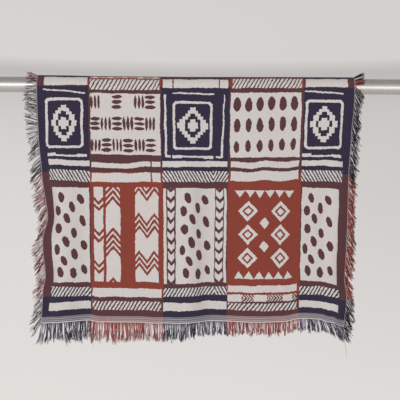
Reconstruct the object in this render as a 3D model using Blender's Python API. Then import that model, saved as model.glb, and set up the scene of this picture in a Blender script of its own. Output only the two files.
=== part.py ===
"""A fringed jacquard blanket hung over a metal rod, at its real size.

X runs along the rod, -Y is the side that faces the room and +Z is up. The origin is the centre of the
rod's left end face. The blanket is one sheet, laid over the rod with a long front drop and a short back
drop. A narrow strip along each edge carries the fringe's locks.

A place on the cloth is (across, along): across runs from the left selvedge to the right one, and along
runs from the front hem, up over the rod and down to the back hem.
"""

import math

import bmesh
import bpy
import numpy as np
from mathutils import Vector

# Sizes in metres.
ROD_RADIUS = 0.0315
ROD_LENGTH = 1.80
ROD_SIDES = 48
ROD_CHAMFER = 0.0015

CLOTH_WIDTH = 1.27
CLOTH_THICK = 0.0025
FRONT_DROP = 0.940
BACK_DROP = 0.495
SEAT_GAP = 0.0003

ARC_STEPS = 12
# One lock hangs from each step of the hems, and two from each step of the selvedges.
ACROSS_STEPS = 54
FRONT_STEPS = 18
BACK_STEPS = 9
# Steps by which the folds' shortening is added up across the cloth.
FINE_STEPS = 640

# The folds start at the rod and have most of their depth this far below it, in front at the left and right
# selvedge, and behind.
FRONT_GROWTH = (0.40, 0.20)
BACK_GROWTH = 0.22
# The place across the cloth that hangs plumb. The folds draw the rest in towards it.
PLUMB_LINE = 0.655

# Crests and troughs of the front drop at its hem. depth is towards the room.
FRONT_FOLDS = (
    # across, depth
    (0.000, 0.020),
    (0.075, 0.030),
    (0.200, -0.014),
    (0.400, 0.002),
    (0.490, -0.001),
    (0.590, 0.028),
    (0.705, -0.021),
    (0.890, 0.014),
    (1.095, -0.022),
    (1.225, 0.032),
    (1.270, 0.028),
)
# The same for the back drop. depth is away from the room.
BACK_FOLDS = (
    # across, depth
    (0.000, -0.004),
    (0.130, 0.032),
    (0.270, -0.010),
    (0.400, 0.030),
    (0.550, -0.011),
    (0.680, 0.033),
    (0.820, -0.010),
    (0.970, 0.032),
    (1.110, -0.010),
    (1.270, 0.022),
)
# How far each selvedge of the front drop turns away from the room.
SELVEDGE_TURN = (
    # drop, left, right
    (0.00, 0.000, 0.000),
    (0.20, 0.018, 0.038),
    (0.34, 0.034, 0.044),
    (0.53, 0.058, 0.040),
    (0.63, 0.028, 0.046),
    (0.76, 0.044, 0.062),
    (0.83, 0.026, 0.040),
    (0.95, 0.014, 0.058),
)
SELVEDGE_REACH = 0.070
# How much lower than level each place of the front hem hangs.
HEM_SAG = (
    # across, sag
    (0.000, 0.008),
    (0.110, -0.002),
    (0.200, -0.001),
    (0.240, 0.006),
    (0.400, 0.003),
    (0.510, 0.007),
    (0.640, 0.006),
    (0.700, -0.001),
    (0.780, -0.004),
    (0.910, 0.004),
    (1.000, 0.000),
    (1.130, -0.020),
    (1.190, -0.008),
    (1.270, 0.019),
)

STRIP_GAP = 0.0004
STRIP_WIDTH = 0.005
# The length of the hems' locks.
HEM_LOCK_LENGTH = (
    # across, length
    (0.00, 0.084),
    (0.20, 0.082),
    (0.50, 0.072),
    (0.68, 0.058),
    (0.90, 0.053),
    (1.27, 0.055),
)
SIDE_LOCK_LENGTH = 0.060
# A lock's width, thickness and share of its length at each step from the strip.
LOCK_STEPS = (
    # share, width, thickness
    (0.45, 0.60, 1.50),
    (1.00, 0.26, 1.00),
)
# Single yarns that hang out of the front fringe.
LOOSE_YARNS = (
    # across, length
    (0.205, 0.112),
    (1.235, 0.130),
)
LOOSE_STEPS = (
    # share, width, thickness
    (0.30, 0.55, 1.40),
    (0.55, 0.20, 1.00),
    (1.00, 0.08, 0.60),
)
# The side fringe's slope below level, outwards from each selvedge, in degrees: in front, and behind.
SIDE_SLOPE = (
    # drop, left, right
    (0.00, 0.0, 20.0),
    (0.06, -22.0, 34.0),
    (0.14, -18.0, 46.0),
    (0.21, 44.0, 52.0),
    (0.97, 52.0, 50.0),
)
BACK_SLOPE = 74.0
# How far a side lock stands off the cloth's plane, and drops below its first slope, for each metre of it.
SIDE_LIFT = 0.05
SIDE_FALL = 0.16
BEND_LOCK_LENGTH = 0.045
# How far a hem lock's tip leans to either side, and how far a lock's length strays, as shares of its length.
LOCK_LEAN = 0.05
LOCK_UNEVEN = 0.10
# Turn in radians between one lock and the next, for lengths and leans that wander.
LENGTH_TURN = 2.4
LEAN_TURN = 4.1

# Angle between two stations of the bend over the rod, halved.
HALF_STEP = math.pi / ARC_STEPS / 2
# The bend's corners stand this far from the rod's axis, so that its flats clear the rod.
BEND_RADIUS = (ROD_RADIUS + SEAT_GAP + CLOTH_THICK / 2) / math.cos(HALF_STEP)
BEND_LENGTH = math.pi * BEND_RADIUS
# The left selvedge's place along the rod.
CLOTH_START = (ROD_LENGTH - CLOTH_WIDTH) / 2


def eased(rows, places, column=1):
    """Values between a table's rows, level at each row and eased from one to the next."""
    table = np.array(rows)
    knots, values = table[:, 0], table[:, column]
    places = np.clip(places, knots[0], knots[-1])
    low = np.clip(np.searchsorted(knots, places, side="right") - 1, 0, len(knots) - 2)
    share = (places - knots[low]) / (knots[low + 1] - knots[low])
    return values[low] + (values[low + 1] - values[low]) * share * share * (3 - 2 * share)


def fold_depth(across, drop, front):
    """How far the hung cloth stands off the plane under the rod's side, outwards from the rod."""
    if not front:
        return (1 - np.exp(-((drop / BACK_GROWTH) ** 1.5))) * eased(BACK_FOLDS, across)
    reach = FRONT_GROWTH[0] + (FRONT_GROWTH[1] - FRONT_GROWTH[0]) * across / CLOTH_WIDTH
    growth = 1 - np.exp(-((drop / reach) ** 1.5))
    left = np.exp(-((across / SELVEDGE_REACH) ** 2))
    right = np.exp(-(((CLOTH_WIDTH - across) / SELVEDGE_REACH) ** 2))
    turn = left * eased(SELVEDGE_TURN, drop, 1) + right * eased(SELVEDGE_TURN, drop, 2)
    return growth * eased(FRONT_FOLDS, across) - turn


def row_of(across, along):
    """Points of the hung cloth's middle surface at one place along it.

    Across the cloth, the folds' slopes shorten each short length to its run along the rod, and the runs
    add up from the plumb line. So the cloth keeps its width and the folds draw its edges in.
    """
    fine = np.linspace(0, CLOTH_WIDTH, FINE_STEPS + 1)
    front = along <= FRONT_DROP
    over = along - FRONT_DROP
    on_bend = 0 < over < BEND_LENGTH
    drop = 0.0 if on_bend else (-over if front else over - BEND_LENGTH)
    depth = fold_depth(fine, drop, front)
    run = np.sqrt(1 - np.gradient(depth, fine) ** 2)
    place = np.concatenate([[0], np.cumsum((run[1:] + run[:-1]) / 2 * np.diff(fine))])
    place -= np.interp(PLUMB_LINE, fine, place)
    x = CLOTH_START + PLUMB_LINE + np.interp(across, fine, place)
    if on_bend:
        turned = math.pi * over / BEND_LENGTH
        y = np.full_like(x, -BEND_RADIUS * math.cos(turned))
        z = np.full_like(x, BEND_RADIUS * math.sin(turned))
    else:
        out = BEND_RADIUS + np.interp(across, fine, depth)
        y = -out if front else out
        sag = eased(HEM_SAG, across) if front else 0.0
        z = -drop - sag * (drop / FRONT_DROP) ** 2
    return np.stack([x, y, z + np.zeros_like(x)], axis=-1)


def middle_surface():
    """The middle surface's points, a row for each station along the cloth and a column for each across it."""
    across = np.linspace(0, CLOTH_WIDTH, ACROSS_STEPS + 1)
    front = np.linspace(0, FRONT_DROP, FRONT_STEPS + 1)
    bend = np.linspace(0, BEND_LENGTH, ARC_STEPS + 1) + FRONT_DROP
    back = np.linspace(0, BACK_DROP, BACK_STEPS + 1) + FRONT_DROP + BEND_LENGTH
    along = np.concatenate([front[:-1], bend, back[1:]])
    return np.stack([row_of(across, place) for place in along])


def material(name, colour, roughness, metallic=0.0):
    made = bpy.data.materials.new(name)
    made.use_nodes = True
    shader = made.node_tree.nodes["Principled BSDF"]
    shader.inputs["Base Color"].default_value = (*colour, 1.0)
    shader.inputs["Roughness"].default_value = roughness
    shader.inputs["Metallic"].default_value = metallic
    return made


def add_object(name, mesh, finish):
    made = bpy.data.objects.new(name, mesh)
    mesh.materials.append(finish)
    bpy.context.scene.collection.objects.link(made)
    return made


def make_rod(finish):
    """A plain round bar with chamfered ends, its left end face centred on the origin."""
    shape = bmesh.new()
    bmesh.ops.create_cone(
        shape,
        cap_ends=True,
        segments=ROD_SIDES,
        radius1=ROD_RADIUS,
        radius2=ROD_RADIUS,
        depth=ROD_LENGTH,
    )
    mesh = bpy.data.meshes.new("rod")
    shape.to_mesh(mesh)
    shape.free()
    rod = add_object("rod", mesh, finish)
    rod.location = (ROD_LENGTH / 2, 0, 0)
    rod.rotation_euler = (0, math.pi / 2, 0)
    chamfer = rod.modifiers.new("chamfer", "BEVEL")
    chamfer.width = ROD_CHAMFER
    chamfer.segments = 1
    chamfer.limit_method = "ANGLE"
    chamfer.angle_limit = math.radians(60)
    mesh.shade_smooth()
    mesh.set_sharp_from_angle(angle=math.radians(30))
    return rod


def make_cloth(points, finish):
    """The sheet: a grid over the middle surface, thickened evenly to both sides."""
    rows, columns = points.shape[:2]
    corner = np.arange((rows - 1) * columns).reshape(rows - 1, columns)[:, :-1].ravel()
    faces = np.stack([corner, corner + 1, corner + 1 + columns, corner + columns], axis=1)
    mesh = bpy.data.meshes.new("blanket")
    mesh.from_pydata(points.reshape(-1, 3).tolist(), [], faces.tolist())
    mesh.shade_smooth()
    blanket = add_object("blanket", mesh, finish)
    wall = blanket.modifiers.new("thickness", "SOLIDIFY")
    wall.thickness = CLOTH_THICK
    wall.offset = 0
    wall.use_even_offset = True
    return blanket


def unit(vectors):
    return vectors / np.linalg.norm(vectors, axis=-1, keepdims=True)


def strip_beside(edge, inner):
    """The near line, far line and normals of a strip that carries the cloth on past one of its edges.

    edge is the cloth's last line of points and inner the line before it.
    """
    outwards = unit(edge - inner)
    normals = unit(np.cross(outwards, np.gradient(edge, axis=0)))
    near = edge + outwards * STRIP_GAP
    return np.stack([near, near + outwards * STRIP_WIDTH, normals])


def cut_back(strip, end, following):
    """Shortens a strip by the gap at one end, towards the station that follows the end."""
    strip[:2, end] += unit(strip[:2, following] - strip[:2, end]) * STRIP_GAP


def halved(strip):
    """The strip's lines with the middle of each straight length put in between."""
    filled = np.repeat(strip, 2, axis=1)[:, :-1]
    filled[:, 1::2] = (strip[:, 1:] + strip[:, :-1]) / 2
    return filled


def grow_lock(shape, face, outwards, fall, length, steps):
    """Pulls a face of the strip out into a tapering lock, which leaves outwards and then turns by fall."""
    root = face.calc_center_median()
    corners = [vert.co - root for vert in face.verts]
    breadth = max((edge.verts[1].co - edge.verts[0].co for edge in face.edges), key=lambda e: e.length)
    for share, width, thickness in steps:
        face = bmesh.ops.extrude_discrete_faces(shape, faces=[face])["faces"][0]
        centre = root + (outwards * share + fall * share * share) * length
        for vert, corner in zip(face.verts, corners):
            along_strip = corner.project(breadth)
            vert.co = centre + along_strip * width + (corner - along_strip) * thickness


def make_fringe(name, strip, lock_of, finish):
    """A strip lofted between its two lines, with a lock grown from each cell's outer face.

    lock_of gives, for a cell's number and its root's centre, the lock's outwards and fall directions, its
    length and its steps, or None for a cell that stays plain.
    """
    near, far, normals = strip
    half = normals * CLOTH_THICK / 2
    shape = bmesh.new()
    corners = np.stack([near + half, far + half, far - half, near - half], axis=1)
    rings = [[shape.verts.new(corner) for corner in ring] for ring in corners.tolist()]
    roots = []
    for ring, following in zip(rings, rings[1:]):
        for number, after in enumerate((1, 2, 3, 0)):
            face = shape.faces.new((ring[number], ring[after], following[after], following[number]))
            if number == 1:
                roots.append(face)
    shape.faces.new(rings[0])
    shape.faces.new(rings[-1])
    bmesh.ops.recalc_face_normals(shape, faces=shape.faces[:])
    for number, face in enumerate(roots):
        lock = lock_of(number, face.calc_center_median())
        if lock:
            grow_lock(shape, face, *lock)
    mesh = bpy.data.meshes.new(name)
    shape.to_mesh(mesh)
    shape.free()
    return add_object(name, mesh, finish)


def uneven(length, number):
    """A length that wanders from lock to lock, the same on every run."""
    return length * (1 + LOCK_UNEVEN * math.sin(number * LENGTH_TURN))


def hem_lock(number, root):
    """A lock that hangs from a hem, a little out of plumb."""
    lean = Vector((LOCK_LEAN * math.sin(number * LEAN_TURN), 0, 0))
    length = float(eased(HEM_LOCK_LENGTH, (number + 0.5) * CLOTH_WIDTH / ACROSS_STEPS))
    return Vector((0, 0, -1)), lean, uneven(length, number), LOCK_STEPS


def front_hem_lock(number, root):
    """As hem_lock, with a single loose yarn hanging out of some locks."""
    outwards, fall, length, steps = hem_lock(number, root)
    pitch = CLOTH_WIDTH / ACROSS_STEPS
    for across, loose_length in LOOSE_YARNS:
        if number == int(across / pitch):
            length, steps = loose_length, LOOSE_STEPS
    return outwards, fall, length, steps


def side_lock(side, front):
    """Gives the function of the locks that slope away and down from one selvedge's drop."""
    out_of_plane = -SIDE_LIFT if front else SIDE_LIFT

    def lock(number, root):
        slope = float(eased(SIDE_SLOPE, -root.z, 1 if side < 0 else 2)) if front else BACK_SLOPE
        slope = math.radians(slope)
        outwards = Vector((side * math.cos(slope), out_of_plane, -math.sin(slope)))
        fall = Vector((0, 0, -SIDE_FALL))
        return outwards, fall, uneven(SIDE_LOCK_LENGTH, number), LOCK_STEPS

    return lock


def bend_lock(side):
    """Gives the function of the locks that lie out along the rod, from every second cell of the bend."""

    def lock(number, root):
        if number % 2:
            return None
        lift = Vector((0, root.y, root.z)).normalized() * SIDE_LIFT
        return Vector((side, 0, 0)) + lift, lift, uneven(BEND_LOCK_LENGTH, number), LOCK_STEPS

    return lock


def main():
    for old in list(bpy.data.objects):
        bpy.data.objects.remove(old)
    metal = material("rod metal", (0.62, 0.61, 0.60), 0.28, 1.0)
    cloth = material("jacquard cotton", (0.36, 0.26, 0.25), 0.9)
    yarn = material("fringe yarn", (0.50, 0.45, 0.44), 0.95)
    make_rod(metal)
    points = middle_surface()
    make_cloth(points, cloth)
    make_fringe("fringe_front_hem", strip_beside(points[0], points[1]), front_hem_lock, yarn)
    make_fringe("fringe_back_hem", strip_beside(points[-1], points[-2]), hem_lock, yarn)
    bend_start = FRONT_STEPS
    bend_end = FRONT_STEPS + ARC_STEPS
    for name, side, edge, inner in (("left", -1, 0, 1), ("right", 1, -1, -2)):
        strip = strip_beside(points[:, edge], points[:, inner])
        front = strip[:, : bend_start + 1].copy()
        bend = strip[:, bend_start : bend_end + 1]
        back = strip[:, bend_end:].copy()
        cut_back(front, -1, -2)
        cut_back(back, 0, 1)
        make_fringe(f"fringe_{name}_front", halved(front), side_lock(side, True), yarn)
        make_fringe(f"fringe_{name}_bend", bend, bend_lock(side), yarn)
        make_fringe(f"fringe_{name}_back", halved(back), side_lock(side, False), yarn)


main()
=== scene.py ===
"""The looks of a fringed jacquard blanket that hangs over a metal rod.

X runs along the rod, -Y faces the room and +Z is up, in metres. A place on the cloth is (across, along):
across runs from the left selvedge to the right one, and along runs from the front hem, up over the rod and
down to the back hem. The cloth's woven pattern, its edge cords and its loose yarns all follow those places.
"""

import math

import bpy
import numpy as np
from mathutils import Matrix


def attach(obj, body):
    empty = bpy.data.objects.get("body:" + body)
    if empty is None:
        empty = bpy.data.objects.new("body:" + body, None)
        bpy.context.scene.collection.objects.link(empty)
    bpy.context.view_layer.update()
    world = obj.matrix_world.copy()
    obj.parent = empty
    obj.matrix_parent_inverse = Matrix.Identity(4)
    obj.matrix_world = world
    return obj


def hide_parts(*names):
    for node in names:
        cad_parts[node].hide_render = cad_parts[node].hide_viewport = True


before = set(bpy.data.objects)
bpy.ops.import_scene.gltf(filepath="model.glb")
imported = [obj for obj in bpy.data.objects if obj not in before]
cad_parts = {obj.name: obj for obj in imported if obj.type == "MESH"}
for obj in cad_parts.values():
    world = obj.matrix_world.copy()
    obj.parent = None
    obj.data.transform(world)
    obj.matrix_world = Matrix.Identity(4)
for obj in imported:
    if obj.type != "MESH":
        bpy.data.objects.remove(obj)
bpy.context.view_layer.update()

# The rod and the way the cloth lies on it, as in the solids.
ROD_RADIUS = 0.0315
ROD_LENGTH = 1.80
ROD_CHAMFER = 0.0015
CLOTH_WIDTH = 1.27
CLOTH_LENGTH = 1.54
CLOTH_THICK = 0.0024
FRONT_DROP = 0.9436
BEND_RADIUS = 0.0333
BEND_LENGTH = math.pi * BEND_RADIUS
CLOTH_START = (ROD_LENGTH - CLOTH_WIDTH) / 2
# The folds have most of their depth this far below the rod, in front at the left and right selvedge, and
# behind.
FRONT_GROWTH = (0.40, 0.20)
BACK_GROWTH = 0.22
# The creases start over this much of the drop.
CREASE_START = 0.08
# The place across whose yarns hang straight down, towards which the folds draw the cloth in.
PLUMB_LINE = 0.655
# How far the cloth stands off the top of the rod.
BEND_LIFT = (
    # across, lift
    (0.00, 0.0042), (0.10, 0.0038), (0.25, 0.0018), (0.60, 0.0010), (0.85, 0.0024), (1.00, 0.0034),
    (1.27, 0.0038),
)
# Steps across in which the folds' drawing-in adds up.
FINE_STEPS = 640

# Crests and troughs of the front drop at its hem. depth is towards the room.
FRONT_FOLDS = (
    # across, depth
    (0.000, 0.020), (0.075, 0.030), (0.200, -0.014), (0.400, 0.002), (0.490, -0.001), (0.590, 0.028),
    (0.705, -0.021), (0.890, 0.014), (1.095, -0.022), (1.225, 0.032), (1.270, 0.028),
)
# The same for the back drop. depth is away from the room.
BACK_FOLDS = (
    # across, depth
    (0.000, -0.004), (0.130, 0.032), (0.270, -0.010), (0.400, 0.030), (0.550, -0.011), (0.680, 0.033),
    (0.820, -0.010), (0.970, 0.032), (1.110, -0.010), (1.270, 0.022),
)
# How far each selvedge of the front drop turns away from the room.
SELVEDGE_TURN = (
    # drop, left, right
    (0.00, 0.000, 0.000),
    (0.20, 0.018, 0.038),
    (0.34, 0.034, 0.044),
    (0.53, 0.058, 0.040),
    (0.63, 0.028, 0.046),
    (0.76, 0.044, 0.062),
    (0.83, 0.026, 0.040),
    (0.95, 0.014, 0.058),
)
# How far in from a selvedge that turn reaches, as the width of its bell.
SELVEDGE_REACH = 0.070
# How much lower than level each place of the front hem hangs.
HEM_SAG = (
    # across, sag
    (0.000, 0.0115), (0.065, 0.0062), (0.110, 0.0024), (0.200, 0.0006), (0.240, 0.0070),
    (0.400, 0.0050), (0.470, 0.0090), (0.540, 0.0070), (0.600, 0.0036), (0.650, 0.0030),
    (0.720, 0.0004), (0.900, 0.0005), (1.000, 0.0000), (1.080, -0.0105), (1.150, -0.0105),
    (1.200, 0.0000), (1.240, 0.0150), (1.270, 0.0215),
)
# Soft creases of the front drop: a ridge is above nought and a trough below it.
CREASES = (
    # across, drop, half width, half length, lean, height
    (0.055, 0.62, 0.018, 0.12, 0.10, 0.0018),
    (0.120, 0.30, 0.022, 0.18, -0.12, 0.0014),
    (0.330, 0.16, 0.020, 0.14, 0.20, -0.0012),
    (0.452, 0.50, 0.018, 0.24, 0.03, -0.0012),
    (0.560, 0.74, 0.016, 0.16, 0.08, 0.0014),
    (0.655, 0.62, 0.018, 0.30, 0.03, -0.0012),
    (0.800, 0.22, 0.022, 0.18, -0.18, 0.0012),
    (0.905, 0.48, 0.018, 0.22, 0.04, -0.0012),
    (1.010, 0.72, 0.018, 0.18, -0.10, 0.0013),
    (1.150, 0.40, 0.018, 0.26, 0.05, 0.0016),
    (1.205, 0.80, 0.014, 0.12, -0.12, -0.0016),
)
# Slight ripples all over the cloth.
RIPPLE_HEIGHT = 0.0007
RIPPLE_LENGTH = 0.083

# Columns of the warp: where each starts and ends, and the middle from which its panels' places count.
COLUMNS = (
    # start, end, middle, kind
    (0.0000, 0.2069, 0.1215, "first"),
    (0.2069, 0.4976, 0.3522, "strips"),
    (0.4976, 0.7700, 0.6328, "middle"),
    (0.7700, 1.0673, 0.9181, "lozenges"),
    (1.0673, 1.2700, 1.1505, "last"),
)
KINDS = [column[3] for column in COLUMNS]
NAVY_COLUMNS = ("first", "middle", "last")
# Rows of the weave. From the rod on they mirror the rows before it.
ROWS = (
    # start, end, kind, mirrored
    (0.0000, 0.0245, "header", False),
    (0.0245, 0.1510, "foot", False),
    (0.1510, 0.5450, "lower", False),
    (0.5450, 0.9250, "upper", False),
    (0.9250, 0.9780, "over", False),
    (0.9780, 1.3890, "lower", True),
    (1.3890, 1.5155, "foot", True),
    (1.5155, 1.5400, "header", True),
)
# The first rust weft starts here, counted from either hem, on the cloth and in its side fringe.
RUST_START = 0.1030
SIDE_RUST_START = 0.122
# Navy weft between the rust ones: the wide row, and a narrow one that lies on the rod.
NAVY_WEFT = (0.5940, 0.9340)
TOP_NAVY_WEFT = (0.9705, 0.9930)
# Hatched bands whose strokes have the navy weft's colour on a rust weft: the left, right, bottom and top
# edge, and the climb.
DARK_BANDS = {
    ("foot", "first"): (-0.0850, 0.1, 0.1000, 0.1380, -0.055),
    ("foot", "middle"): (-0.1400, 0.1400, 0.1000, 0.1385, 0.0),
    ("foot", "last"): (-0.1, 0.0850, 0.1010, 0.1350, 0.035),
    ("upper", "first"): (-0.0850, 0.1, 0.5570, 0.6005, -0.045),
    ("upper", "middle"): (-0.1400, 0.1400, 0.5565, 0.5995, 0.0),
    ("upper", "last"): (-0.1, 0.0850, 0.5595, 0.6043, -0.010),
    ("over", "strips"): (-0.1395, 0.1370, 0.9195, 0.9615, 0.0),
    ("over", "lozenges"): (-0.1360, 0.1390, 0.9312, 0.9690, 0.012),
}
# The largest cell of the cloth's mesh, and the number of its rows over the rod.
CELL = 0.0074
BEND_CELLS = 26

# The step to which the woven pattern's edges keep.
THREAD = 0.0012
# The header's lines: from one to the next, and the pale share of it. Then the pale cord at the hem and
# along the selvedges.
HEADER_PITCH = 0.0078
HEADER_LINE = 0.36
HEM_CORD = (0.0004, 0.0040)
SELVEDGE_CORD = 0.0030
# How far a drawn edge strays from its straight line: from thread to thread, and slowly.
FINE_STRAY = 0.0046
SLOW_STRAY = 0.0050

# Where the egg shapes of a panel lie, from its middle and from the hem.
EGGS = (
    (-0.034, 0.492), (0.042, 0.485), (0.009, 0.452), (-0.051, 0.440), (-0.015, 0.408), (0.049, 0.398),
    (-0.048, 0.369), (0.014, 0.350), (-0.018, 0.316), (0.054, 0.302), (-0.054, 0.286), (0.017, 0.266),
    (-0.028, 0.243), (-0.042, 0.197), (0.011, 0.192), (0.055, 0.204),
)

# Yarns below each hem, how wide a bunch and a clump of them is, how far they curl and how long they are.
HEM_YARNS = 4700
BACK_HEM_YARNS = 2400
HEM_BUNCH = 0.0030
HEM_CLUMP = 0.0125
HEM_CURL = 0.0030
HEM_LENGTH = (
    # across, length
    (0.00, 0.084), (0.20, 0.082), (0.50, 0.073), (0.68, 0.059), (0.90, 0.053), (1.15, 0.056),
    (1.27, 0.066),
)
# How far the hem's yarns lean to the right for their length.
HEM_LEAN = (
    # across, lean
    (0.00, -0.20), (0.07, 0.00), (0.98, 0.02), (1.12, 0.10), (1.19, 0.42), (1.27, 0.46),
)
YARN_RADIUS = 0.00066
YARN_RINGS = 7
# Single dark yarns that hang below the others.
LOOSE_YARNS = (
    # across, length, lean
    (0.216, 0.112, -0.05),
    (1.262, 0.128, 0.14),
)

# The side fringe's slope below level, outwards from each selvedge, in degrees.
SIDE_SLOPE = (
    # drop, left, right
    (0.000, 16.0, 54.0),
    (0.020, 10.0, 60.0),
    (0.050, -16.0, 61.0),
    (0.120, -22.0, 60.0),
    (0.165, -8.0, 60.0),
    (0.205, 44.0, 58.0),
    (0.960, 48.0, 56.0),
)
BACK_SLOPE = 74.0
# By side, left and right: the yarns for a front drop's length, which stand closer over the rod, how long
# they are and how wide a bunch of them is. Then the clumps and the curl, as at the hems.
SIDE_YARNS = {-1: 1800, 1: 3400}
BEND_CROWD = 1.5
SIDE_LENGTH = {-1: 0.052, 1: 0.049}
SIDE_BUNCH = {-1: 0.0032, 1: 0.0027}
SIDE_CLUMP = 0.0115
SIDE_CURL = 0.0022
# How deep a yarn's root lies in the edge of the cloth, and the step in which that edge's way is measured.
ROOT_DEPTH = 0.0016
EDGE_STEP = 0.004
# The right tuft on the rod is black between these places, counted from where the bend starts.
BLACK_TUFT = (0.018, 0.050)

# The rod's soft shadow on the surround, in heights of the direction in which it is seen, and the floor.
SHADOW_TOP = 0.181
SHADOW_EDGE = 0.017
SHADOW_PEAK = 0.166
SHADOW_FADE = 0.06
FLOOR_RADIUS = 2.7
FLOOR_LEVEL = -2.0
FLOOR_SIDES = 96


def linear(red, green, blue):
    """A colour given as it looks on a screen, from 0 to 255, as the light that it stands for."""
    share = np.array([red, green, blue]) / 255
    light = np.where(share <= 0.04045, share / 12.92, ((share + 0.055) / 1.055) ** 2.4)
    return (*light.tolist(), 1.0)


NAVY = linear(51, 45, 68)
MAROON = linear(94, 58, 62)
RUST = linear(144, 66, 54)
CREAM_ROSE = linear(224, 215, 214)
CREAM_GREEN = linear(217, 216, 213)
HEADER_NAVY = linear(118, 115, 128)
HEADER_RUST = linear(148, 121, 122)
EDGE_PALE = linear(168, 162, 172)

# Yarn colours: each one's share of the yarns, then its red, green and blue on a screen. Those of the side
# fringes are by side, left and right.
NAVY_YARNS = (
    (0.22, 46, 43, 58),
    (0.22, 62, 58, 90),
    (0.20, 112, 107, 130),
    (0.24, 164, 159, 176),
    (0.12, 222, 218, 226),
)
RUST_YARNS = (
    (0.28, 168, 70, 74),
    (0.22, 190, 100, 100),
    (0.22, 200, 150, 146),
    (0.16, 220, 202, 196),
    (0.12, 122, 54, 58),
)
BLACK_YARNS = {
    -1: ((0.34, 38, 38, 46), (0.12, 92, 90, 98), (0.20, 168, 165, 170), (0.34, 230, 226, 224)),
    1: ((0.56, 32, 32, 42), (0.16, 78, 76, 90), (0.10, 156, 153, 162), (0.18, 228, 224, 224)),
}
WARM_YARNS = {
    -1: ((0.34, 182, 120, 120), (0.36, 226, 216, 212), (0.16, 142, 50, 56), (0.14, 92, 74, 80)),
    1: ((0.46, 158, 68, 56), (0.26, 184, 104, 88), (0.12, 220, 200, 192), (0.16, 104, 52, 50)),
}


def by_node(operation):
    """A method that adds a Math node of that kind, on the value and on what is given with it."""
    return lambda value, *others: value.math(operation, *others)


class Value:
    """One output of a node, which Python's operators turn into Math nodes."""

    def __init__(self, shader, socket):
        self.shader = shader
        self.socket = socket

    def math(self, operation, *others):
        """The result of a Math node on this value and up to two others."""
        return self.shader.math(operation, self, *others)

    __add__ = __radd__ = by_node("ADD")
    __sub__ = by_node("SUBTRACT")
    __mul__ = by_node("MULTIPLY")
    __truediv__ = by_node("DIVIDE")
    __mod__ = by_node("FLOORED_MODULO")
    __pow__ = by_node("POWER")
    __abs__ = by_node("ABSOLUTE")
    __lt__ = by_node("LESS_THAN")
    __gt__ = by_node("GREATER_THAN")
    __or__ = by_node("MAXIMUM")
    sine = by_node("SINE")
    cosine = by_node("COSINE")

    def __rsub__(self, other):
        return self.shader.math("SUBTRACT", other, self)

    def between(self, low, high):
        """1 where the value lies from low to high, else 0."""
        return self.math("COMPARE", (low + high) / 2, (high - low) / 2)

    def nearest(self, low, high):
        """The nearest whole number, kept from low to high."""
        return self.math("ROUND").math("MAXIMUM", low).math("MINIMUM", high)


class Shader:
    """The nodes of a material or the world, added by expressions."""

    def __init__(self, owner):
        owner.use_nodes = True
        self.owner = owner
        self.tree = owner.node_tree

    def feed(self, socket, value):
        """Links a value to a socket, or sets the socket to a number, a colour or a vector."""
        if isinstance(value, Value):
            self.tree.links.new(value.socket, socket)
        else:
            socket.default_value = value

    def node(self, kind, settings=None, inputs=None, output=0):
        """Adds a node, its settings first, then what its sockets hold, and returns one of its outputs."""
        made = self.tree.nodes.new("ShaderNode" + kind)
        for name, setting in (settings or {}).items():
            setattr(made, name, setting)
        for socket, value in (inputs or {}).items():
            self.feed(made.inputs[socket], value)
        return Value(self, made.outputs[output])

    def math(self, operation, *values):
        return self.node("Math", {"operation": operation}, dict(enumerate(values)))

    def mix(self, share, first, second):
        """The colour that lies this share of the way from the first to the second."""
        return self.node("Mix", {"data_type": "RGBA"}, {0: share, 6: first, 7: second}, 2)

    def toned(self, colour, tone):
        """The colour made lighter or darker, channel by channel, by the same number."""
        grey = self.join(tone, tone, tone)
        return self.node("VectorMath", {"operation": "MULTIPLY"}, {0: colour, 1: grey})

    def place(self, name):
        """The two coordinates of the piece's own UV map of that name."""
        return self.split(self.node("UVMap", {"uv_map": name}))[:2]

    def split(self, vector):
        parts = self.tree.nodes.new("ShaderNodeSeparateXYZ")
        self.feed(parts.inputs[0], vector)
        return [Value(self, output) for output in parts.outputs]

    def join(self, x, y, z=0.0):
        return self.node("CombineXYZ", None, {0: x, 1: y, 2: z})

    def noise(self, x, y, scale, detail=1.0, output=0):
        """Flat noise of a given scale at a place. Output 0 is its height and 1 its colour."""
        inputs = {"Vector": self.join(x, y), "Scale": scale, "Detail": detail}
        return self.node("TexNoise", {"noise_dimensions": "2D"}, inputs, output)

    def finish(self, colour, roughness, height=None, depth=0.0, **constants):
        """Feeds the surface shader. Height is a bump's, depth its reach in metres, the rest constants."""
        surface = self.tree.nodes["Principled BSDF"]
        self.feed(surface.inputs["Base Color"], colour)
        self.feed(surface.inputs["Roughness"], roughness)
        for name, value in constants.items():
            surface.inputs[name.replace("_", " ")].default_value = value
        if height is not None:
            bump = self.node("Bump", None, {"Strength": 1.0, "Distance": depth, "Height": height})
            self.feed(surface.inputs["Normal"], bump)
        return self.owner


def box(x, y, left, right, bottom, top, climb=0.0):
    """1 inside a rectangle, whose top and bottom climb by a share of x."""
    level = y - x * climb if climb else y
    return x.between(left, right) * level.between(bottom, top)


def hatch(x, y, slant, pitch, share=0.57):
    """Slanting strokes: 1 on the gaps between them. The slant is how far a stroke leans for its height."""
    uneven = x + (x * 47.0).sine() * 0.0016
    return (((uneven - y * slant) / pitch) % 1.0) < share


def turned_hatch(x, y, turn, slant, pitch):
    """Strokes that slant one way up to a turning place and the other way beyond it."""
    return hatch(abs(x - turn), y, -slant, pitch)


def chevrons(x, y, half, slope, pitch, share):
    """A strip of nested V shapes: 1 on each shape's arms."""
    return x.between(-half, half) * (((y - abs(x) * slope) / pitch % 1.0) < share)


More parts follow.
